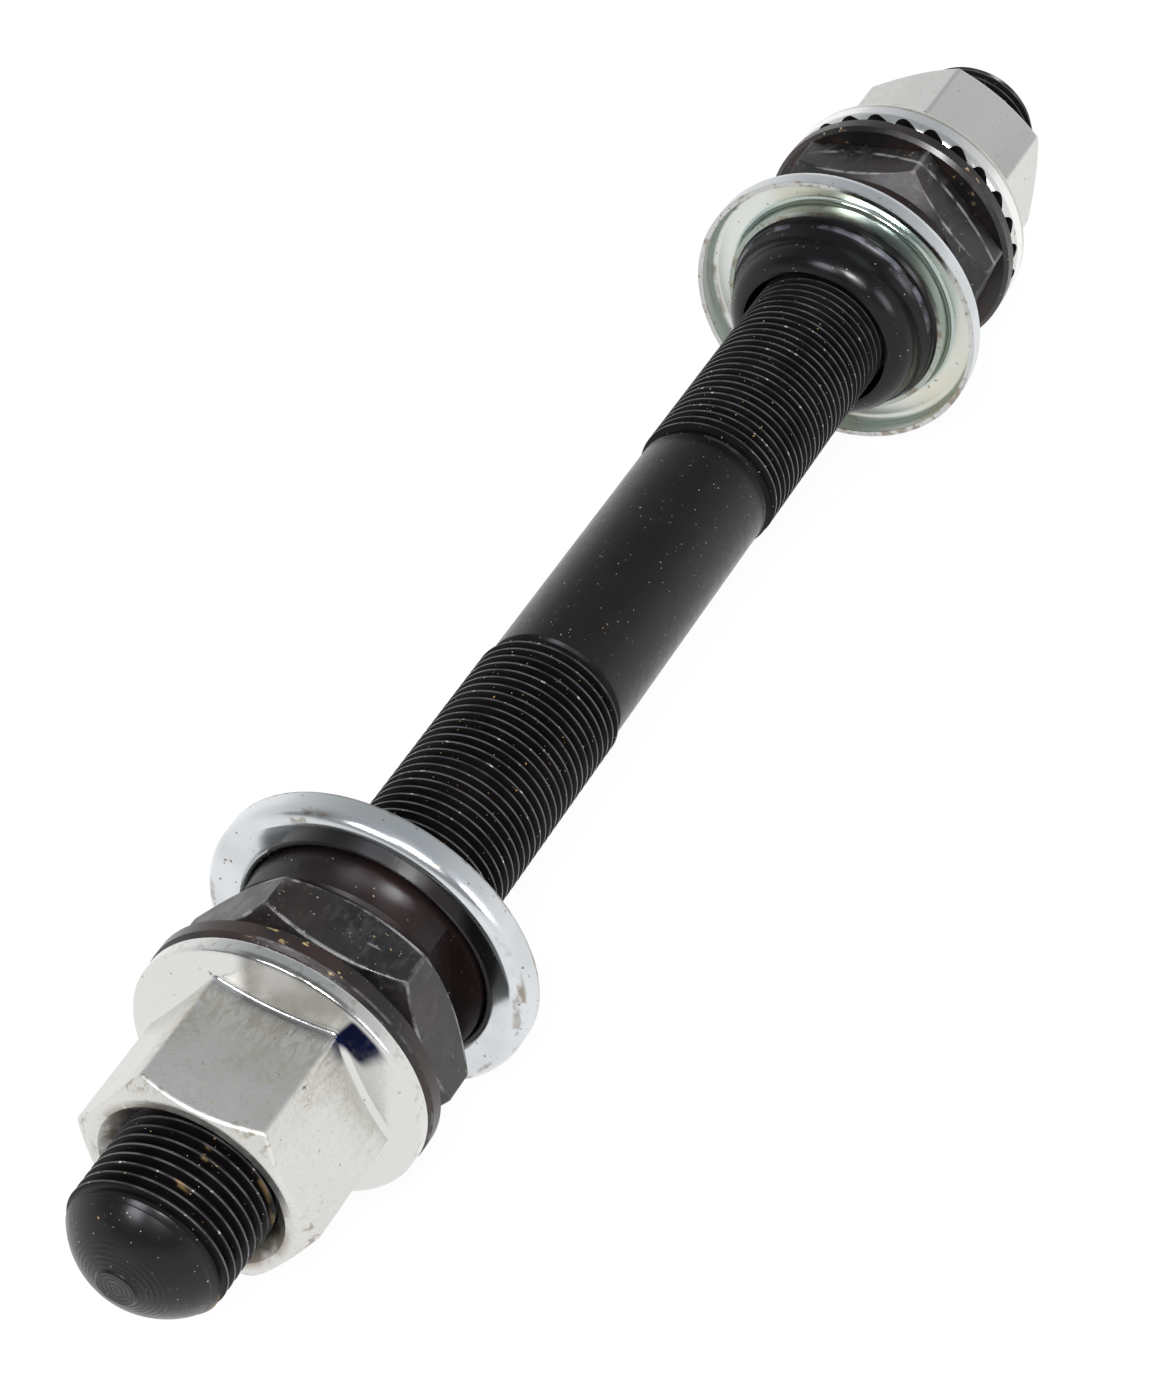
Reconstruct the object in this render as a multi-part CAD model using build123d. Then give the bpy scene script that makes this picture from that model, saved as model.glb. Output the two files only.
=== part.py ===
from build123d import *
import math
import os

# Bicycle hub axle of the heavy 14 mm kind, with a cone, dust cap, locknut, washer and flange nut at each end.
# The axle lies along X with its middle at the origin, +Z up. The left end is at -X.
# Turned pieces are half sections: x runs outward from the middle of the axle and y is the radius.

# Axle: one turned bar, threaded from near its middle to each domed end
axle_length = 176.0
thread_radius = 7.0
plain_radius = 6.65
dome_radius = 7.9
nub_radius = 1.9
nub_height = 0.2

# Clearances between pieces that turn or slide on the thread, and the depth of small edge breaks
thread_clearance = 0.05
washer_clearance = 0.08
edge_break = 0.4

# Width over the two locknuts, which is the frame's dropout spacing, and between the caps' cut edges
over_locknuts = 121.0
between_caps = 94.2

# Washers
washer_radius = 13.3
washer_thickness = 2.0

# Locknuts
locknut_flats = 22.5
locknut_inner_land = 10.6
locknut_round = 0.2

# Cones: counted outward from the nose face
cone_relief_radius = 7.7
cone_relief_depth = 3.5
cone_nose_edge = 8.0
cone_nose_radius = 9.94
cone_nose_round = 2.7
race_start = 2.4
race_end = 4.3
race_groove_radius = 2.6
race_edge_round = 0.5
cone_body_radius = 11.1
race_edge_drop = 0.3
cone_land_drop = 0.2
cone_shoulder = 0.3
wrench_flats = 17.0
wrench_flat_length = 3.6

# Dust caps: pressed sheet with a skirt, a flat floor and a collar
cap_reach = 3.95
cap_wall = 0.5
cap_depth = 2.7
cap_corner = 1.3
cap_collar_step = 0.1
cap_bend = 0.55

# Flange nuts
nut_flats = 19.0
nut_corner_round = 0.6
nut_end_round = 0.4
nut_face_land = 9.2
nut_chamfer_angle = 30.0
nut_countersink = 8.4
flange_inset = 0.1
flange_slope = 17.0
flange_root_round = 0.5
tooth_count = 26
tooth_width = 3.05
tooth_lead = 0.6
tooth_root_round = 0.8
tooth_inner_radius = 11.3

# What differs between the ends. Turns are degrees about X, from +Y towards +Z
ends = {
    "left": dict(side=-1, thread_start=15.0, locknut_thickness=6.9, locknut_outer_land=8.9,
                 locknut_chamfer=30.0, locknut_turn=15.9, cone_length=11.6, nut_height=14.5,
                 nut_turn=8.5, flange_rim=1.7, flange_edge_round=0.5, flange_foot_round=0.5,
                 tooth_depth=0.4, tooth_turn=0.0, tooth_margin=0.6),
    "right": dict(side=1, thread_start=16.0, locknut_thickness=5.5, locknut_outer_land=None,
                  locknut_chamfer=38.0, locknut_turn=48.7, cone_length=13.0, nut_height=16.1,
                  nut_turn=32.7, flange_rim=3.3, flange_edge_round=1.0, flange_foot_round=1.2,
                  tooth_depth=1.2, tooth_turn=10.7, tooth_margin=-1.0),
}

# Places along the axle, outward from its middle
locknut_face = over_locknuts / 2
nut_seat = locknut_face + washer_thickness
cap_rim = between_caps / 2
cap_lip = cap_rim + cap_collar_step
bore_radius = thread_radius + thread_clearance
washer_bore = thread_radius + washer_clearance

# Sizes that follow from a neighbour's
race_edge_radius = cone_body_radius - race_edge_drop
cone_land_radius = cone_body_radius - cone_land_drop
cap_radius = cone_body_radius + cap_reach
flange_radius = washer_radius - flange_inset


def turned(*lines):
    """Solid of a closed half section turned about the axle."""
    return revolve(make_face(Wire(lines)), Axis.X, 360)


def polygon_turned(points):
    """Solid of a straight-sided half section turned about the axle."""
    return turned(*Polyline(*points, close=True).edges())


def corner_radius(flats):
    """Distance from a hexagon's centre to its corners."""
    return flats / 2 / math.cos(math.pi / 6)


def hex_bar(flats, length, turn):
    """Hexagonal bar that starts at x = 0 and runs outward."""
    outline = RegularPolygon(corner_radius(flats), 6, rotation=turn)
    return extrude(Plane.YZ * outline, length)


def bored(solid, radius, start, end, widened=edge_break):
    """Solid with a bore from start to end, its two mouths broken by 45 degree edges."""
    hole = polygon_turned([
        (start - 1, 0), (start - 1, radius + widened + 1), (start + widened, radius),
        (end - widened, radius), (end + 1, radius + widened + 1), (end + 1, 0)])
    return solid - hole


def outer_edges(solid, start, radius):
    """Edges that lie beyond a place along the axle and outside a radius."""
    def outside(edge):
        middle = edge.center(CenterOf.BOUNDING_BOX)
        reach = math.hypot(middle.Y, middle.Z)
        if edge.geom_type == GeomType.CIRCLE:
            reach = edge.radius
        return edge.bounding_box().min.X > start and reach > radius
    return [edge for edge in solid.edges() if outside(edge)]


def make_axle():
    """One bar: plain middle, raised threads and a domed end with a small turned nub."""
    half = axle_length / 2
    dome_edge = half - nub_height
    dome_centre = dome_edge - math.sqrt(dome_radius ** 2 - nub_radius ** 2)
    thread_end = dome_centre + math.sqrt(dome_radius ** 2 - thread_radius ** 2)
    middle = (thread_end + dome_edge) / 2
    arc_height = math.sqrt(dome_radius ** 2 - (middle - dome_centre) ** 2)
    step = thread_radius - plain_radius
    lines = []
    for end in ends.values():
        side = end["side"]
        start = end["thread_start"]
        points = [(0, plain_radius), (side * (start - step), plain_radius),
                  (side * start, thread_radius), (side * thread_end, thread_radius)]
        lines += Polyline(*points).edges()
        lines.append(ThreePointArc((side * thread_end, thread_radius), (side * middle, arc_height),
                                   (side * dome_edge, nub_radius)))
        nub = [(side * dome_edge, nub_radius), (side * half, nub_radius - nub_height), (side * half, 0)]
        lines += Polyline(*nub).edges()
    lines.append(Line((-half, 0), (half, 0)))
    return turned(*lines)


def make_cone(end):
    """Bearing cone: nose, grooved ball race, seat for the dust cap and a body with two wrench flats."""
    length = end["cone_length"]
    start = locknut_face - end["locknut_thickness"] - length
    lines = [
        Line((start, cone_relief_radius), (start, cone_nose_edge)),
        RadiusArc((start, cone_nose_edge), (start + race_start, cone_nose_radius), cone_nose_round),
        RadiusArc((start + race_start, cone_nose_radius), (start + race_end, race_edge_radius),
                  -race_groove_radius),
    ]
    outline = [
        (start + race_end, race_edge_radius), (cap_lip - cone_shoulder, cone_land_radius),
        (cap_lip, cone_body_radius), (start + length - edge_break, cone_body_radius),
        (start + length, cone_body_radius - edge_break), (start + length, bore_radius),
        (start + cone_relief_depth + cone_relief_radius - bore_radius, bore_radius),
        (start + cone_relief_depth, cone_relief_radius), (start, cone_relief_radius)]
    lines += Polyline(*outline).edges()
    cone = turned(*lines)
    edge = cone.edges().sort_by_distance((start + race_end, 0, race_edge_radius))[0]
    cone = fillet(edge, race_edge_round)
    waste = cone_body_radius - wrench_flats / 2
    block = Box(wrench_flat_length, waste, 2 * cone_body_radius)
    for way in (1, -1):
        middle = way * (wrench_flats + waste) / 2
        cone -= Pos(start + length - wrench_flat_length / 2, middle, 0) * block
    return cone


def make_dust_cap():
    """Pressed cap: collar on the cone, flat floor, rounded corner and a skirt that faces the middle."""
    floor_out = cap_rim + cap_depth
    floor_in = floor_out - cap_wall
    collar = cone_body_radius + cap_wall
    skirt = cap_radius - cap_wall
    inner_corner = cap_corner - cap_wall
    outer_bend = cap_bend + cap_wall
    return turned(
        Line((cap_lip, cone_body_radius), (cap_lip, collar)),
        Line((cap_lip, collar), (floor_in - cap_bend, collar)),
        RadiusArc((floor_in - cap_bend, collar), (floor_in, collar + cap_bend), -cap_bend),
        Line((floor_in, collar + cap_bend), (floor_in, skirt - inner_corner)),
        RadiusArc((floor_in, skirt - inner_corner), (floor_in - inner_corner, skirt), -inner_corner),
        Line((floor_in - inner_corner, skirt), (cap_rim, skirt)),
        Line((cap_rim, skirt), (cap_rim, cap_radius)),
        Line((cap_rim, cap_radius), (floor_out - cap_corner, cap_radius)),
        RadiusArc((floor_out - cap_corner, cap_radius), (floor_out, cap_radius - cap_corner), cap_corner),
        Line((floor_out, cap_radius - cap_corner), (floor_out, cone_body_radius + outer_bend)),
        RadiusArc((floor_out, cone_body_radius + outer_bend), (floor_out - outer_bend, cone_body_radius),
                  outer_bend),
        Line((floor_out - outer_bend, cone_body_radius), (cap_lip, cone_body_radius)))


def make_locknut(end):
    """Hexagonal locknut, its corners cut back by cones that leave a round land on each chamfered face."""
    start = locknut_face - end["locknut_thickness"]
    corner = corner_radius(locknut_flats)
    slope = math.tan(math.radians(end["locknut_chamfer"]))
    inner = (corner - locknut_inner_land) * slope
    blank = [(start, 0), (start, locknut_inner_land), (start + inner, corner)]
    if end["locknut_outer_land"] is None:
        blank += [(locknut_face, corner), (locknut_face, 0)]
    else:
        outer = (corner - end["locknut_outer_land"]) * slope
        blank += [(locknut_face - outer, corner), (locknut_face, end["locknut_outer_land"]),
                  (locknut_face, 0)]
    bar = Pos(start, 0, 0) * hex_bar(locknut_flats, end["locknut_thickness"], end["locknut_turn"])
    nut = bar & polygon_turned(blank)
    nut = fillet(outer_edges(nut, start - 1, bore_radius + 1), locknut_round)
    return bored(nut, bore_radius, start, locknut_face)


def make_washer():
    """Plain round washer with broken edges."""
    inner = locknut_face
    outer = locknut_face + washer_thickness
    return polygon_turned([
        (inner, washer_bore), (inner, washer_radius - edge_break), (inner + edge_break, washer_radius),
        (outer - edge_break, washer_radius), (outer, washer_radius - edge_break), (outer, washer_bore)])


def flange_root(nut, low, high):
    """The edges where the hexagon's sides meet the flange."""
    def at_root(edge):
        middle = edge.center(CenterOf.BOUNDING_BOX)
        radius = math.hypot(middle.Y, middle.Z)
        return low < middle.X < high and nut_flats / 2 - 0.3 < radius < flange_radius - 1
    return [edge for edge in nut.edges() if at_root(edge)]


def make_flange_nut(end):
    """Hexagonal nut with a conical flange in one piece, chamfered outside and toothed on its bearing face."""
    corner = corner_radius(nut_flats)
    face = nut_seat + end["nut_height"]
    rim = nut_seat + end["flange_rim"]
    chamfer = (corner - nut_face_land) * math.tan(math.radians(nut_chamfer_angle))
    blank = polygon_turned([
        (nut_seat, 0), (nut_seat, corner), (face - chamfer, corner), (face, nut_face_land), (face, 0)])
    bar = Pos(nut_seat, 0, 0) * hex_bar(nut_flats, end["nut_height"], end["nut_turn"])
    bar = fillet(bar.edges().filter_by(Axis.X), nut_corner_round)
    rise = flange_radius * math.tan(math.radians(flange_slope))
    flange = polygon_turned([
        (nut_seat, 0), (nut_seat, flange_radius), (rim, flange_radius), (rim + rise, 0)])
    edge = flange.edges().filter_by(GeomType.CIRCLE).sort_by(Axis.X)[-1]
    flange = fillet(edge, end["flange_edge_round"])
    foot = flange.edges().filter_by(GeomType.CIRCLE).sort_by(Axis.X)[0]
    flange = fillet(foot, end["flange_foot_round"])
    bar = bar & blank
    bar = fillet(outer_edges(bar, face - 2 * chamfer, nut_face_land - nut_end_round), nut_end_round)
    nut = bar + flange
    nut = fillet(flange_root(nut, rim, rim + rise), flange_root_round)
    mouth = nut_countersink - bore_radius
    nut -= polygon_turned([
        (nut_seat - 1, 0), (nut_seat - 1, bore_radius), (face - mouth, bore_radius),
        (face + 1, nut_countersink + 1), (face + 1, 0)])
    reach = flange_radius - end["tooth_margin"] - tooth_inner_radius
    notch = make_face(Polyline((0, -tooth_width / 2), (end["tooth_depth"], tooth_lead - tooth_width / 2),
                               (0, tooth_width / 2), close=True))
    notch = fillet(notch.vertices().sort_by(Axis.X)[-1], tooth_root_round)
    gap = extrude(Plane.XZ * notch, -reach)
    for step in range(tooth_count):
        turn = Rot(end["tooth_turn"] + 360 * step / tooth_count, 0, 0)
        nut -= turn * Pos(nut_seat, tooth_inner_radius, 0) * gap
    return nut


def placed(solid, end):
    """Solid drawn for the right end, mirrored where it belongs to the left one."""
    return solid if end["side"] > 0 else mirror(solid, Plane.YZ)


def save(solid, name):
    """One STEP file for each piece."""
    solid.label = name
    export_step(solid, "parts/" + name + ".step")


os.makedirs("parts", exist_ok=True)
save(make_axle(), "axle")
for side_name, end_data in ends.items():
    pieces = {
        "cone": make_cone(end_data),
        "dust_cap": make_dust_cap(),
        "locknut": make_locknut(end_data),
        "washer": make_washer(),
        "flange_nut": make_flange_nut(end_data),
    }
    for piece_name, piece in pieces.items():
        save(placed(piece, end_data), piece_name + "_" + side_name)
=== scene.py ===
import bpy
import bmesh
import math
from mathutils import Matrix, Vector


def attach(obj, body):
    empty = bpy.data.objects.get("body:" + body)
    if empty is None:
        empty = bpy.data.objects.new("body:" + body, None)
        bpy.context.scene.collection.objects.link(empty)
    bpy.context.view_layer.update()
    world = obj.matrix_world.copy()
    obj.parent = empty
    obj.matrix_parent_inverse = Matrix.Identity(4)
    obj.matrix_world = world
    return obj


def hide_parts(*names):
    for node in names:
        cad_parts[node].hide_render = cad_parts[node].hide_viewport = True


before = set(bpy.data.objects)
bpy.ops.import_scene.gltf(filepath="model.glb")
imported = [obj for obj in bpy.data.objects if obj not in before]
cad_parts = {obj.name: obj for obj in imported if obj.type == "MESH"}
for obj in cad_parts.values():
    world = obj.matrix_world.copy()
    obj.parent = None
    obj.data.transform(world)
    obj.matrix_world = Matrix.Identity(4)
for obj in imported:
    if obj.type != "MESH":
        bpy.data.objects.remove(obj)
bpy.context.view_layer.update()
mm = 0.001
print("frame loaded:", len(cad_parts), "nodes")


# Shader maths: a wrapped socket takes part in plain expressions

class Wire:
    def __init__(self, tree, socket):
        self.tree, self.socket = tree, socket

    def maths(self, operation, first, second=None, clamp=False):
        made = self.tree.node("ShaderNodeMath", {"operation": operation, "use_clamp": clamp})
        for index, value in enumerate((first, second)):
            if value is not None:
                self.tree.put(made.inputs[index], value)
        return Wire(self.tree, made.outputs[0])

    def __add__(self, other):
        return self.maths("ADD", self, other)

    def __radd__(self, other):
        return self.maths("ADD", other, self)

    def __sub__(self, other):
        return self.maths("SUBTRACT", self, other)

    def __rsub__(self, other):
        return self.maths("SUBTRACT", other, self)

    def __mul__(self, other):
        return self.maths("MULTIPLY", self, other)

    def __rmul__(self, other):
        return self.maths("MULTIPLY", other, self)

    def clamped(self):
        return self.maths("ADD", self, 0.0, clamp=True)

    def absolute(self):
        return self.maths("ABSOLUTE", self)

    def root(self):
        return self.maths("SQRT", self)

    def sine(self):
        return self.maths("SINE", self)

    def cosine(self):
        return self.maths("COSINE", self)

    def rise(self, low, high):
        # 0 below low, 1 above high, smooth between; high under low turns it round
        start, end = (0.0, 1.0) if low <= high else (1.0, 0.0)
        made = self.tree.node("ShaderNodeMapRange", {"interpolation_type": "SMOOTHSTEP"}, Value=self,
                              From_Min=min(low, high), From_Max=max(low, high), To_Min=start, To_Max=end)
        return Wire(self.tree, made.outputs["Result"])

    def band(self, centre, half, soft):
        # 1 within half of the centre, fading to 0 over soft
        return (self - centre).absolute().rise(half + soft, half)


class Finish:
    # a material whose x, y, z and radius are millimetres on the axle
    def __init__(self, name):
        self.material = bpy.data.materials.new(name)
        self.material.use_nodes = True
        tree = self.material.node_tree
        self.nodes, self.links = tree.nodes, tree.links
        self.shader = self.nodes["Principled BSDF"]
        self.place = Wire(self, self.node("ShaderNodeTexCoord", {}).outputs["Object"])
        parts = self.node("ShaderNodeSeparateXYZ", {}, Vector=self.place)
        self.x, self.y, self.z = (Wire(self, part) * (1 / mm) for part in parts.outputs)
        self.radius = (self.y * self.y + self.z * self.z).root()
        self.angle = self.x.maths("ARCTAN2", self.z, self.y)

    def put(self, socket, value):
        if isinstance(value, Wire):
            self.links.new(value.socket, socket)
        elif isinstance(value, tuple) and len(value) == 3 and socket.type == "RGBA":
            socket.default_value = (*value, 1.0)
        else:
            socket.default_value = value

    def node(self, kind, settings, **values):
        made = self.nodes.new(kind)
        stops = settings.pop("stops", None)
        for key, value in settings.items():
            setattr(made, key, value)
        if stops:
            ramp = made.color_ramp
            while len(ramp.elements) < len(stops):
                ramp.elements.new(0.5)
            for element, (position, colour) in zip(ramp.elements, stops):
                element.position, element.color = position, (*colour, 1.0)
        for key, value in values.items():
            self.put(made.inputs[key.replace("_", " ")], value)
        return made

    def noise(self, scale, detail=3.0, rough=0.5, stretch=None, warp=0.0):
        # scale counts features for each metre; a stretch under 1 lengthens them along that axis
        place = self.place
        if stretch:
            place = Wire(self, self.node("ShaderNodeMapping", {}, Vector=place, Scale=stretch).outputs[0])
        made = self.node("ShaderNodeTexNoise", {}, Vector=place, Scale=scale, Detail=detail,
                         Roughness=rough, Distortion=warp)
        return Wire(self, made.outputs[0])

    def specks(self, scale, low, high):
        return self.noise(scale, detail=1.0).rise(low, high)

    def mix(self, share, first, second):
        made = self.node("ShaderNodeMix", {"data_type": "RGBA"}, Factor=share)
        for name, value in (("A", first), ("B", second)):
            self.put([s for s in made.inputs if s.name == name and s.type == "RGBA"][0], value)
        return Wire(self, [s for s in made.outputs if s.type == "RGBA"][0])

    def bump(self, height, depth, strength):
        made = self.node("ShaderNodeBump", {}, Height=height, Strength=strength, Distance=depth * mm)
        self.links.new(made.outputs[0], self.shader.inputs["Normal"])

    def set(self, **values):
        for key, value in values.items():
            self.put(self.shader.inputs[key.replace("_", " ")], value)
        return self.material

    def corner(self, leftTurn, rightTurn):
        # angle to the nearest corner of a hexagon that is turned differently at each end
        turn = math.radians(leftTurn) + self.x.rise(-1, 1) * math.radians(rightTurn - leftTurn)
        return self.x.maths("PINGPONG", self.angle - turn, math.pi / 6)


# Finishes. A pair of millimetres says where a mark begins and where it is full

blackOxide = {
    # the crest colour is a painted highlight along the thread crests
    "dark": (0.0016, 0.0015, 0.0017), "crest": (0.055, 0.055, 0.058), "tint": (0.005, 0.0035, 0.004),
    "speck": (0.50, 0.48, 0.42), "golden": (0.30, 0.20, 0.08), "rough": 0.34, "specular": 0.12,
    "coat": 0.42, "coatRough": 0.20, "crestCoat": 0.8,
    "threadStart": (14.6, 15.6), "crestTop": (6.95, 6.99), "scuffedEnd": (-72, -80),
    "scuffedCrest": (6.55, 6.9), "nub": (86.6, 87.2), "nubRingPitch": 0.42,
    "dome": (83.0, 84.0), "domeRadius": (6.9, 6.6),
}


def axleFinish():
    s = blackOxide
    f = Finish("axleBlackOxide")
    out = f.x.absolute()
    cloud = f.noise(160, detail=4).rise(0.42, 0.66)
    colour = f.mix(cloud * 0.7, s["dark"], s["tint"])
    threaded = out.rise(*s["threadStart"])
    # the lighter thread crests are a painted highlight along the crest lines, broken up in patches
    edgeMark = f.radius.rise(*s["crestTop"]) * threaded
    patchy = f.noise(420, detail=3).rise(0.34, 0.62)
    colour = f.mix(edgeMark * (0.25 + 0.75 * patchy), colour, s["crest"])
    streak = f.noise(900, detail=3, stretch=(0.12, 1, 1)).rise(0.55, 0.75)
    colour = f.mix(streak * (1 - threaded) * 0.5, colour, s["tint"])
    chip = edgeMark * f.noise(1300, detail=2).rise(0.66, 0.72)
    colour = f.mix(chip * 0.6, colour, s["speck"])
    colour = f.mix(f.specks(4200, 0.775, 0.80) * 0.8, colour, s["speck"])
    colour = f.mix(f.specks(3300, 0.765, 0.79) * 0.8, colour, s["golden"])
    scuff = f.noise(700, detail=3, stretch=(1, 0.25, 0.25)).rise(0.60, 0.66)
    scuff = scuff * f.x.rise(*s["scuffedEnd"]) * f.radius.rise(*s["scuffedCrest"])
    colour = f.mix(scuff * 0.55, colour, s["golden"])
    rings = (f.radius * (2 * math.pi / s["nubRingPitch"])).sine() * out.rise(*s["nub"])
    fine = f.noise(5200, detail=2, stretch=(0.05, 1, 1))
    f.bump(rings + fine * 0.05, 0.05, 0.7)
    smooth = (1 - threaded) + out.rise(*s["dome"]) * f.radius.rise(*s["domeRadius"])
    coat = (smooth + edgeMark * s["crestCoat"]).clamped() * s["coat"]
    rough = s["rough"] + f.noise(900).rise(0.35, 0.7) * 0.10
    return f.set(Base_Color=colour, Roughness=rough, Metallic=0.0, Specular_IOR_Level=s["specular"],
                 Coat_Weight=coat, Coat_Roughness=s["coatRough"])


coneBlack = {
    "dark": (0.0016, 0.0015, 0.0018), "brown": (0.012, 0.0050, 0.0048), "speck": (0.6, 0.55, 0.45),
    # the pale blue-grey colour below is a painted highlight for the race's outer edge
    "edgeMark": (0.20, 0.20, 0.24), "rough": 0.20, "specular": 0.3,
    "body": (48.5, 50.5), "raceEdge": 46.3,
}


def coneFinish():
    s = coneBlack
    f = Finish("coneBlackSatin")
    out = f.x.absolute()
    cloud = f.noise(120, detail=3).rise(0.4, 0.62)
    body = out.rise(*s["body"])
    colour = f.mix(body * (0.35 + 0.65 * cloud), s["dark"], s["brown"])
    # a painted highlight in patches along the race's outer edge
    edgeMark = out.band(s["raceEdge"], 0.16, 0.14) * f.noise(190, detail=3).rise(0.46, 0.60)
    colour = f.mix(edgeMark * 0.55, colour, s["edgeMark"])
    colour = f.mix(f.specks(3600, 0.77, 0.795) * 0.8, colour, s["speck"])
    rings = f.noise(3400, detail=2, stretch=(1, 0.04, 0.04))
    f.bump(rings * 0.5 + f.noise(420, detail=3), 0.03, 0.4)
    rough = s["rough"] + body * 0.10 + f.noise(500).rise(0.3, 0.7) * 0.08
    return f.set(Base_Color=colour, Roughness=rough, Metallic=0.0, Specular_IOR_Level=s["specular"])


lockBlack = {
    "dark": (0.004, 0.0038, 0.0042), "grey": (0.011, 0.011, 0.0115), "brown": (0.016, 0.008, 0.0065),
    # the pale scratch colour serves real scratches and specks, and painted highlights on the chamfer curves
    # and hex corner edges
    "scratch": (0.20, 0.195, 0.20), "golden": (0.34, 0.25, 0.12), "rough": 0.31,
    "leftTurn": 15.9, "rightTurn": 48.7, "flat": 11.25, "cornerTop": (12.5, 12.7),
    "innerStart": (53.6, 55.0), "innerLand": 10.6, "innerSlope": 0.62,   # start at the left and right end
    "outerFace": 60.5, "outerLand": 8.9, "outerSlope": 0.577, "arcHalf": 0.13, "arcSoft": 0.12,
}


def locknutFinish():
    s = lockBlack
    f = Finish("locknutBlackOxide")
    out = f.x.absolute()
    cloud = f.noise(240, detail=5).rise(0.38, 0.65)
    colour = f.mix(cloud, s["dark"], s["grey"])
    colour = f.mix(f.noise(150, detail=2).rise(0.5, 0.7) * 0.6, colour, s["brown"])
    turn = f.corner(s["leftTurn"], s["rightTurn"])
    flatReach = f.radius * (math.pi / 6 - turn).cosine()
    onFlat = flatReach.rise(s["flat"] - 0.22, s["flat"] - 0.08)
    left, right = s["innerStart"]
    start = left + f.x.rise(-1, 1) * (right - left)
    inner = out - start - (f.radius - s["innerLand"]) * s["innerSlope"]
    outer = out - s["outerFace"] + (f.radius - s["outerLand"]) * s["outerSlope"]
    # bright chamfer curves and hex corner edges are painted highlights in the pale scratch colour, broken up
    # in patches
    arcGlint = [chamfer.band(0.0, s["arcHalf"], s["arcSoft"]) for chamfer in (inner, outer)]
    arcGlint = (arcGlint[0] + arcGlint[1]).clamped() * onFlat
    cornerGlint = (f.radius * turn).rise(0.30, 0.12) * f.radius.rise(*s["cornerTop"])
    patchyGlint = f.noise(520, detail=4).rise(0.38, 0.60)
    colour = f.mix((arcGlint * 0.75 + cornerGlint * 0.35).clamped() * patchyGlint, colour, s["scratch"])
    scratch = f.noise(700, detail=2, stretch=(1, 0.10, 0.5), warp=0.5).rise(0.72, 0.76)
    colour = f.mix(scratch * 0.5, colour, s["scratch"])
    colour = f.mix(f.specks(3600, 0.755, 0.78), colour, s["scratch"])
    dust = f.noise(3600, detail=2, stretch=(1, 0.5, 0.5)).rise(0.68, 0.73)
    dusty = f.noise(130, detail=2).rise(0.50, 0.62)
    colour = f.mix(dust * dusty * 0.6, colour, s["golden"])
    haze = f.noise(1300, detail=5, stretch=(0.5, 1, 1)).rise(0.46, 0.66)
    hazy = f.noise(260, detail=3).rise(0.45, 0.62)
    colour = f.mix(haze * hazy * 0.07, colour, s["scratch"])
    f.bump(f.noise(1800, detail=4), 0.03, 0.5)
    rough = s["rough"] + f.noise(600).rise(0.3, 0.7) * 0.12 - arcGlint * 0.06
    return f.set(Base_Color=colour, Roughness=rough, Metallic=0.0)


washerBlack = {
    "dark": lockBlack["dark"], "brown": lockBlack["brown"], "golden": lockBlack["golden"],
    "scratch": lockBlack["scratch"], "rough": 0.26, "rim": (13.1, 13.25), "outerEdge": (62.0, 62.4),
}


def washerFinish():
    s = washerBlack
    f = Finish("washerBlackOxide")
    cloud = f.noise(200, detail=4).rise(0.34, 0.60)
    colour = f.mix(cloud, s["dark"], s["brown"])
    rust = f.noise(2600, detail=2, stretch=(1, 0.4, 0.4)).rise(0.64, 0.70)
    rusty = f.noise(170, detail=2).rise(0.50, 0.62)
    colour = f.mix(rust * rusty * 0.8, colour, s["golden"])
    edge = f.radius.rise(*s["rim"]) * f.x.absolute().rise(*s["outerEdge"])
    edgeMark = edge * f.noise(600, detail=4).rise(0.50, 0.62)
    colour = f.mix(edgeMark * 0.7, colour, s["scratch"])
    colour = f.mix(f.specks(3600, 0.765, 0.79), colour, s["scratch"])
    f.bump(f.noise(2400, detail=3, stretch=(1, 0.2, 0.2)), 0.03, 0.5)
    return f.set(Base_Color=colour, Roughness=s["rough"] + cloud * 0.1, Metallic=0.0)


nutZinc = {
    "bright": (0.70, 0.70, 0.68), "grey": (0.42, 0.38, 0.30), "brown": (0.22, 0.16, 0.10),
    # on the flanges, the dark blue, beige and shadow colours are painted reflections and shade, white is a
    # painted highlight, black is painted shadow, and grey also colours a painted shade band
    "dark": (0.10, 0.08, 0.06), "straw": (0.60, 0.54, 0.36), "navyReflection": (0.010, 0.014, 0.055),
    "white": (0.93, 0.93, 0.92), "beige": (0.17, 0.16, 0.145), "black": (0.012, 0.011, 0.012),
    "shadow": (0.0, 0.0, 0.0), "rough": 0.17,
    "hexagon": (11.6, 10.9), "hexagonStart": (65.2, 66.6), "topHeight": (6.5, 8.5), "topTilt": 0.15,
    "topEnd": (76.0, 71.0), "leftFacetEnd": (70.0, 65.5), "drawnEnd": (70.5, 67.5),
    "face": 77.0, "faceLand": 9.2, "faceSlope": 0.577, "chamfer": (9.5, 10.2),
    "mouth": (9.3, 8.2), "mouthStart": (74.0, 75.5),
    "rim": (12.9, 13.1), "flangeTop": 64.2, "flangeRadius": 13.2, "flangeSlope": 0.306,
    # a dark blue patch and a dull beige stretch on the near flange are painted reflections
    "navyRing": 11.7,
    # these are degrees about the axle
    "leftFacet": (131.78, 140.37), "navyStart": (127.0, 130.0), "navyEnd": (150.0, 140.0),
    "dimMiddle": 104.0, "dimHalf": 18.0, "dimSoft": 8.0,
    # these are millimetres again
    # round the far rim: a painted white highlight band, a painted grey shade band and a brown line of wear
    "farRim": (12.6, 12.9), "whiteBand": 64.2, "greyBand": 65.25, "brownBand": 65.65,
    # these place painted shadow over the notches on the bearing side
    "nickOut": 63.7, "nickRadius": 12.0, "nickReach": (1.17, 1.12),
}


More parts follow.
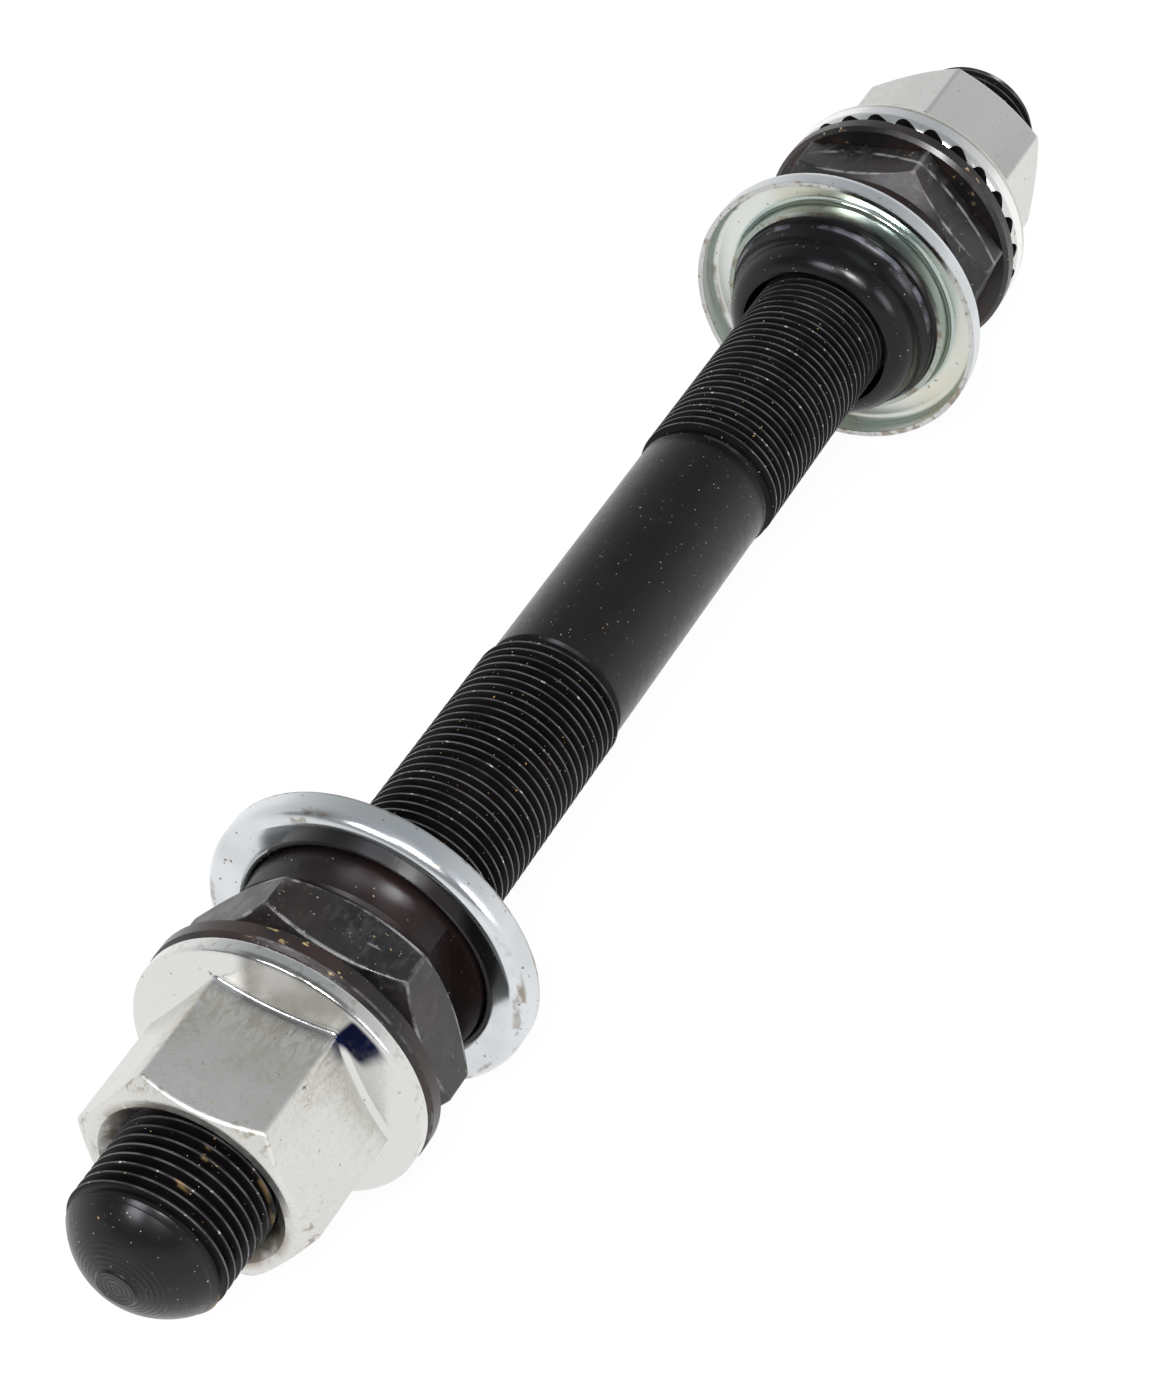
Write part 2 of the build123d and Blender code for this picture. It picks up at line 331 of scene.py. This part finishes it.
def nutFinish():
    s = nutZinc
    f = Finish("nutZincPlate")
    out = f.x.absolute()
    near, far = f.x.rise(1, -1), f.x.rise(-1, 1)
    turned = f.angle * math.degrees(1)
    # mottled grey on the hexagon, heaviest on the near nut's top facet
    body = f.radius.rise(*s["hexagon"]) * out.rise(*s["hexagonStart"])
    fine = f.noise(1700, detail=6, rough=0.75).rise(0.30, 0.72)
    broad = f.noise(230, detail=4).rise(0.36, 0.66)
    top = (f.z - f.y * s["topTilt"]).rise(*s["topHeight"])
    share = body * (0.16 + 0.74 * top * near * (0.45 + 0.55 * out.rise(*s["topEnd"])))
    share = share + body * near * turned.rise(*s["leftFacet"]) * out.rise(*s["leftFacetEnd"]) * 0.7
    colour = f.mix(fine * (0.45 + 0.55 * broad) * share, s["bright"], s["grey"])
    straw = f.noise(3200, detail=3).rise(0.58, 0.68) * body * (0.10 + 0.90 * top * near)
    colour = f.mix(straw * 0.5, colour, s["straw"])
    ripple = f.noise(1500, detail=2, stretch=(0.35, 1, 1), warp=0.8).rise(0.48, 0.58)
    drawn = ripple * body * out.rise(*s["drawnEnd"])
    colour = f.mix(drawn * (0.12 + 0.35 * top * near), colour, s["grey"])
    # brown stains at the rim, the chamfer and the mouth
    stain = f.noise(1100, detail=5).rise(0.55, 0.68)
    colour = f.mix(f.radius.rise(*s["rim"]) * stain * 0.3, colour, s["brown"])
    chamfer = out - s["face"] + (f.radius - s["faceLand"]) * s["faceSlope"]
    outer = chamfer.absolute().rise(0.35, 0.15) * f.radius.rise(*s["chamfer"]) * near
    colour = f.mix(outer * f.noise(1300, detail=5).rise(0.48, 0.62) * 0.6, colour, s["brown"])
    mouth = f.radius.rise(*s["mouth"]) * out.rise(*s["mouthStart"])
    colour = f.mix(mouth * f.noise(500, detail=4).rise(0.42, 0.6) * 0.7, colour, s["brown"])
    speckled = f.noise(3200, detail=4).rise(0.60, 0.70)
    colour = f.mix(speckled * body * (0.35 - 0.2 * top), colour, s["grey"])
    grit = f.noise(1500, detail=3).rise(0.70, 0.735)
    colour = f.mix(grit * 0.7, colour, s["dark"])
    # the near flange: painted reflections, a dull beige stretch and a dark blue patch that painted shade
    # darkens further
    slope = (out - s["flangeTop"] + (f.radius - s["flangeRadius"]) * s["flangeSlope"]).absolute()
    dimReflection = slope.rise(0.6, 0.3) * near * turned.band(s["dimMiddle"], s["dimHalf"], s["dimSoft"])
    colour = f.mix(dimReflection * (0.55 + 0.2 * broad), colour, s["beige"])
    ring = f.radius.band(s["navyRing"], 0.8, 0.6) * slope.rise(0.5, 0.25) * near
    navyReflection = ring * turned.rise(*s["navyStart"]) * turned.rise(*s["navyEnd"])
    uneven = f.noise(420, detail=3).rise(0.25, 0.55)
    colour = f.mix((navyReflection * 1.3).clamped() * (0.70 + 0.30 * uneven), colour, s["navyReflection"])
    colour = f.mix(navyReflection * 0.35, colour, s["shadow"])
    # the far flange: a painted white highlight round its rim with painted grey shade beside it, a brown line
    # of wear at its edge, and painted shadow over the notches on the bearing side
    farRim = f.radius.rise(*s["farRim"]) * far
    colour = f.mix(farRim * out.band(s["whiteBand"], 0.5, 0.3) * 0.9, colour, s["white"])
    colour = f.mix(farRim * out.band(s["greyBand"], 0.2, 0.2) * 0.45, colour, s["grey"])
    brown = farRim * out.band(s["brownBand"], 0.06, 0.08) * (0.3 + 0.5 * stain)
    colour = f.mix(brown, colour, s["brown"])
    across, over = out - s["nickOut"], f.radius - s["nickRadius"]
    nickShade = (across * across + over * over).root().rise(*s["nickReach"]) * far
    colour = f.mix(nickShade * 0.94, colour, s["black"])
    f.bump(f.noise(900, detail=5) + 0.5 * drawn + 0.5 * f.noise(2500, detail=3), 0.04, 0.5)
    rough = s["rough"] + body * (0.13 + 0.12 * fine + 0.08 * top) + grit * 0.2 + nickShade * 0.3
    return f.set(Base_Color=colour, Roughness=rough, Metallic=1.0)


capZinc = {
    "bright": (0.70, 0.73, 0.75), "grey": (0.50, 0.51, 0.50), "brown": (0.20, 0.14, 0.08),
    # green is a tint made darker as painted shade for the hollow beside the collar
    "yellow": (0.66, 0.65, 0.50), "pale": (0.72, 0.74, 0.71), "green": (0.36, 0.44, 0.41), "rough": 0.15,
    "inside": (49.55, 49.4), "insideRadius": (14.62, 14.54), "grooveShade": (12.35, 12.05), "floor": (12.1, 12.4),
    "corner": (48.8, 49.3), "cornerRadius": 14.5, "cutEdge": (47.32, 47.22), "skirtEdge": (14.45, 14.52),
    "collarEdge": (11.62, 11.55), "skirt": (14.9, 15.03),
}


def capFinish():
    s = capZinc
    f = Finish("capZincPlate")
    out = f.x.absolute()
    patch = f.noise(110, detail=3).rise(0.42, 0.60)
    colour = f.mix(patch * 0.35, s["bright"], s["grey"])
    # pale inside, yellow in patches, and a green tint in the hollow beside the collar, darkened there as
    # painted shade
    inside = out.rise(*s["inside"]) * f.radius.rise(*s["insideRadius"])
    bloom = f.noise(95, detail=3, warp=0.4)
    colour = f.mix(inside, colour, s["pale"])
    colour = f.mix(inside * bloom.rise(0.50, 0.62) * 0.55, colour, s["yellow"])
    grooveShade = inside * f.radius.rise(*s["grooveShade"])
    colour = f.mix(grooveShade * (0.65 + 0.3 * bloom.rise(0.62, 0.42)), colour, s["green"])
    # brown lines at the outer corner and stains on the cut edges
    stain = f.noise(800, detail=5, rough=0.6).rise(0.50, 0.64)
    corner = out.rise(*s["corner"]) * f.radius.band(s["cornerRadius"], 0.3, 0.4)
    lines = f.noise(900, detail=4, stretch=(1.0, 0.35, 0.35)).rise(0.50, 0.60)
    lined = f.noise(70, detail=2).rise(0.47, 0.58)
    colour = f.mix(corner * lines * lined * 0.75, colour, s["brown"])
    cut = out.rise(*s["cutEdge"]) * (f.radius.rise(*s["skirtEdge"]) + f.radius.rise(*s["collarEdge"]))
    colour = f.mix(cut * (0.25 + 0.5 * stain), colour, s["brown"])
    grit = f.specks(1700, 0.735, 0.765)
    colour = f.mix(grit * 0.8, colour, s["brown"])
    f.bump(f.noise(380, detail=5) + 0.4 * f.noise(2400, detail=2, stretch=(1, 0.1, 0.1)), 0.03, 0.45)
    floor = inside * f.radius.rise(*s["floor"])
    rough = s["rough"] + floor * 0.16 + f.radius.rise(*s["skirt"]) * 0.12 + patch * 0.05 + grit * 0.2
    return f.set(Base_Color=colour, Roughness=rough, Metallic=1.0)


finishes = {
    "black_oxide": axleFinish(), "cone_steel": coneFinish(), "locknut_steel": locknutFinish(),
    "washer_steel": washerFinish(), "nut_zinc": nutFinish(), "cap_zinc": capFinish(),
}
print("finishes made:", len(finishes))


# The threaded axle, in millimetres

threadedAxle = {
    "domeRadius": 7.9, "nubRadius": 1.9, "nubHeight": 0.2, "half": 88.0,
    "root": 6.387, "crest": 6.998, "plain": 6.65, "pitch": 1.0, "crestWidth": 0.15, "rootWidth": 0.24,
    "starts": {-1: 15.0, 1: 16.0}, "runIn": 0.25, "steps": 96, "domeSteps": 20, "sharpDegrees": 28,
    "sunk": 0.09, "fadeTurns": 0.6, "fadeFrom": 0.2, "domeAbove": 0.003, "domeBelow": 0.02,
    "merge": 0.0005, "turnMerge": 0.002, "lowest": 0.001,
}


def placed(name, bm, slot, body, nodes, sharpDegrees):
    # a finished mesh becomes a piece of the scene
    bmesh.ops.recalc_face_normals(bm, faces=bm.faces)
    mesh = bpy.data.meshes.new(name)
    bm.to_mesh(mesh)
    bm.free()
    mesh.polygons.foreach_set("use_smooth", [True] * len(mesh.polygons))
    mesh.set_sharp_from_angle(angle=math.radians(sharpDegrees))
    mesh.materials.append(finishes[slot])
    piece = bpy.data.objects.new(name, mesh)
    bpy.context.scene.collection.objects.link(piece)
    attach(piece, body)
    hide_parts(*nodes)
    return piece


def profile(bm, points, closed=False):
    # a half section in the XZ plane: distance along the axle and radius
    verts = [bm.verts.new((x * mm, 0, r * mm)) for x, r in points]
    pairs = list(zip(verts, verts[1:])) + ([(verts[-1], verts[0])] if closed else [])
    edges = [bm.edges.new(pair) for pair in pairs]
    return verts, edges


def makeAxle():
    s = threadedAxle
    bm = bmesh.new()
    domeCentre = s["half"] - s["nubHeight"] - math.sqrt(s["domeRadius"] ** 2 - s["nubRadius"] ** 2)
    rootEnd = domeCentre + math.sqrt(s["domeRadius"] ** 2 - s["root"] ** 2)
    turnTo = math.asin(s["nubRadius"] / s["domeRadius"])
    turnFrom = math.asin(s["root"] / s["domeRadius"])
    ends = {}
    for side, start in s["starts"].items():
        points = [(side * start, s["plain"]), (side * (start + s["runIn"]), s["root"])]
        points.append((side * rootEnd, s["root"]))
        for step in range(1, s["domeSteps"] + 1):
            turn = turnFrom + (turnTo - turnFrom) * step / s["domeSteps"]
            points.append((side * (domeCentre + s["domeRadius"] * math.cos(turn)),
                           s["domeRadius"] * math.sin(turn)))
        points += [(side * s["half"], s["nubRadius"] - s["nubHeight"]), (side * s["half"], 0)]
        ends[side] = points
    verts, edges = profile(bm, ends[-1][::-1] + ends[1])
    bmesh.ops.spin(bm, geom=verts + edges, cent=(0, 0, 0), axis=(1, 0, 0), dvec=(0, 0, 0),
                   angle=2 * math.pi, steps=s["steps"], use_merge=True)
    bmesh.ops.remove_doubles(bm, verts=bm.verts, dist=s["merge"] * mm)
    for side, start in s["starts"].items():
        threadCoil(bm, s, side, start, rootEnd, domeCentre)
    return placed("axleThreaded", bm, "black_oxide", "axle", ["axle"], s["sharpDegrees"])


def repeated(bm, count, step, merge):
    # the turn again and again along the axle, each joined to the one before
    mesh = bpy.data.meshes.new("turn")
    bm.to_mesh(mesh)
    bm.free()
    turn = bpy.data.objects.new("turn", mesh)
    bpy.context.scene.collection.objects.link(turn)
    rows = turn.modifiers.new("rows", "ARRAY")
    rows.count, rows.use_relative_offset, rows.use_constant_offset = count, False, True
    rows.constant_offset_displace = (step, 0, 0)
    rows.use_merge_vertices, rows.merge_threshold = True, merge
    grown = turn.evaluated_get(bpy.context.evaluated_depsgraph_get())
    bm = bmesh.new()
    bm.from_mesh(grown.to_mesh())
    bpy.data.objects.remove(turn)
    bpy.data.meshes.remove(mesh)
    return bm


def threadCoil(bm, s, side, start, end, domeCentre):
    # one closed ridge wound round the core, sunk a little into it, flush with the dome at its end
    halfCrest = s["crestWidth"] / 2
    height = s["crest"] - s["root"]
    slope = (s["pitch"] - s["crestWidth"] - s["rootWidth"]) / 2 / height
    foot = halfCrest + slope * (height + s["sunk"])
    low = s["root"] - s["sunk"]
    first = start + foot
    section = [(-foot, low), (-halfCrest, s["crest"]), (halfCrest, s["crest"]), (foot, low)]
    coil = bmesh.new()
    verts, edges = profile(coil, [(side * (first + x), r) for x, r in section], closed=True)
    bmesh.ops.spin(coil, geom=verts + edges, cent=(0, 0, 0), axis=(1, 0, 0), steps=s["steps"],
                   dvec=(side * s["pitch"] * mm / s["steps"], 0, 0), angle=side * 2 * math.pi)
    count = math.ceil((end - first) / s["pitch"])
    coil = repeated(coil, count, side * s["pitch"] * mm, s["turnMerge"] * mm)
    bmesh.ops.holes_fill(coil, edges=[e for e in coil.edges if e.is_boundary], sides=len(section))
    for vert in coil.verts:
        radius = math.hypot(vert.co.y, vert.co.z) / mm
        out = abs(vert.co.x) / mm
        dome = math.sqrt(max(s["domeRadius"] ** 2 - max(out - domeCentre, 0) ** 2, 0))
        share = (out - first) / s["pitch"] / s["fadeTurns"] + s["fadeFrom"]   # the first turn grows
        grown = low + (s["crest"] - low) * min(1, max(0, share))
        if radius > low + s["lowest"]:
            skin = dome + s["domeAbove"] if out < end else dome - s["domeBelow"]
            wanted = min(radius, skin, grown)
        else:
            wanted = min(radius, dome - s["sunk"])
        vert.co.y *= wanted / radius
        vert.co.z *= wanted / radius
    made = bpy.data.meshes.new("coil")
    coil.to_mesh(made)
    coil.free()
    bm.from_mesh(made)
    bpy.data.meshes.remove(made)


makeAxle()
print("axle threaded")


# The other pieces keep the solids' own forms

finishOf = {
    "flange_nut": "nut_zinc", "locknut": "locknut_steel", "washer": "washer_steel", "cone": "cone_steel",
    "dust_cap": "cap_zinc",
}

for name, slot in finishOf.items():
    for side in ("left", "right"):
        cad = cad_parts[name + "_" + side]
        cad.data.materials.clear()
        cad.data.materials.append(finishes[slot])

print("solids finished:", 2 * len(finishOf))


# Camera, at the photograph's place

camera = {
    "place": (-0.22347, -0.11252, 0.21939), "right": (0.4258, -0.9048, 0.0), "up": (0.6148, 0.2893, 0.7337),
    "forward": (0.6639, 0.3124, -0.6794), "lens": 94.68, "sensor": 36.0, "shiftX": -0.0827,
    "clip": (0.01, 10.0),
}


def makeCamera():
    s = camera
    data = bpy.data.cameras.new("camera")
    data.lens, data.sensor_width, data.shift_x = s["lens"], s["sensor"], s["shiftX"]
    data.clip_start, data.clip_end = s["clip"]
    obj = bpy.data.objects.new("camera", data)
    turn = Matrix((s["right"], s["up"], -Vector(s["forward"]))).transposed()
    obj.matrix_world = Matrix.Translation(s["place"]) @ turn.to_4x4()
    bpy.context.scene.collection.objects.link(obj)
    bpy.context.scene.camera = obj


makeCamera()


# Floor, world and lamps

floorPlate = {"height": -15.06, "size": 3.0, "grey": 0.86, "glow": 0.95}
studio = {
    "plain": (0.9, 0.9, 0.9), "white": (1.0, 1.0, 1.0), "black": (0.0, 0.0, 0.0),
    "sky": [(0.0, (0.95, 0.95, 0.95)), (0.17, (0.90, 0.91, 0.92)), (0.38, (0.78, 0.80, 0.82)),
            (0.56, (0.64, 0.66, 0.68)), (0.70, (0.46, 0.48, 0.50)), (0.80, (0.40, 0.42, 0.44)),
            (1.0, (0.38, 0.40, 0.43))],
    "sideGlow": 0.30, "sideAcross": (-0.10, -0.60), "sideLow": (0.05, 0.20), "sideHigh": (0.85, 0.65),
    "farDark": 0.25, "farAlong": (0.35, 0.65), "nearDark": 0.65, "nearAlong": (-0.2, -0.5),
    "darkLow": (0.15, 0.30), "darkHigh": (0.85, 0.65),
}
lamps = {
    "key": {"place": (-0.47, 0.14, 0.45), "size": 0.18, "watts": 1.3, "tint": (0.90, 0.92, 1.0)},
    "front": {"place": (-0.342, -0.15, 0.441), "size": 0.13, "watts": 2.6, "tint": (1.0, 1.0, 1.0)},
    "side": {"place": (-0.175, -0.546, 0.28), "size": 0.24, "watts": 1.0, "tint": (0.90, 0.92, 1.0)},
}


class Stage(Finish):
    # nodes of the floor's material or the world, with the Finish's ways of making them
    def __init__(self, tree):
        self.nodes, self.links = tree.nodes, tree.links

    def seen(self):
        path = self.node("ShaderNodeLightPath", {})
        rays = ("Is Camera Ray", "Is Glossy Ray", "Is Transmission Ray")
        straight, glossy, through = (Wire(self, path.outputs[ray]) for ray in rays)
        return (straight + glossy + through).clamped()


def makeFloor():
    s = floorPlate
    bm = bmesh.new()
    bmesh.ops.create_grid(bm, x_segments=1, y_segments=1, size=s["size"])
    bmesh.ops.translate(bm, verts=bm.verts, vec=(0, 0, s["height"] * mm))
    mesh = bpy.data.meshes.new("floor")
    bm.to_mesh(mesh)
    bm.free()
    floor = bpy.data.objects.new("floor", mesh)
    bpy.context.scene.collection.objects.link(floor)
    material = bpy.data.materials.new("floorPale")
    material.use_nodes = True
    tree = material.node_tree
    nodes = Stage(tree)
    diffuse = nodes.node("ShaderNodeBsdfDiffuse", {}, Color=(s["grey"],) * 3)
    glow = nodes.node("ShaderNodeEmission", {}, Color=(1.0, 1.0, 1.0), Strength=1.0)
    blend = nodes.node("ShaderNodeMixShader", {}, Fac=nodes.seen() * s["glow"])
    tree.links.new(diffuse.outputs[0], blend.inputs[1])
    tree.links.new(glow.outputs[0], blend.inputs[2])
    tree.links.new(blend.outputs[0], tree.nodes["Material Output"].inputs["Surface"])
    mesh.materials.append(material)


def makeWorld():
    # a pale dome with a brighter side, darker towards both ends of the axle; rays to the camera see it plain
    s = studio
    world = bpy.data.worlds.new("studio")
    bpy.context.scene.world = world
    world.use_nodes = True
    sky = Stage(world.node_tree)
    way = Wire(sky, sky.node("ShaderNodeTexCoord", {}).outputs["Generated"])
    parts = sky.node("ShaderNodeSeparateXYZ", {}, Vector=way)
    along, across, height = (Wire(sky, part) for part in parts.outputs)
    ramp = sky.node("ShaderNodeValToRGB", {"stops": s["sky"]}, Fac=height.clamped())
    dome = Wire(sky, ramp.outputs["Color"])
    side = across.rise(*s["sideAcross"]) * height.rise(*s["sideLow"]) * height.rise(*s["sideHigh"])
    dome = sky.mix(side * s["sideGlow"], dome, s["white"])
    dark = along.rise(*s["farAlong"]) * s["farDark"] + along.rise(*s["nearAlong"]) * s["nearDark"]
    dark = dark * height.rise(*s["darkLow"]) * height.rise(*s["darkHigh"])
    dome = sky.mix(dark, dome, s["black"])
    background = world.node_tree.nodes["Background"]
    sky.put(background.inputs["Color"], sky.mix(sky.seen(), s["plain"], dome))


def makeLamps():
    # square lamps that all face the middle of the axle
    for name, lamp in lamps.items():
        light = bpy.data.lights.new(name, "AREA")
        light.shape, light.energy, light.color = "RECTANGLE", lamp["watts"], lamp["tint"]
        light.size = light.size_y = lamp["size"]
        obj = bpy.data.objects.new(name, light)
        turn = (-Vector(lamp["place"])).to_track_quat("-Z", "Y").to_matrix()
        obj.matrix_world = Matrix.Translation(lamp["place"]) @ turn.to_4x4()
        bpy.context.scene.collection.objects.link(obj)


makeFloor()
makeWorld()
makeLamps()
bpy.context.scene.view_settings.view_transform = "Standard"
print("stage set")
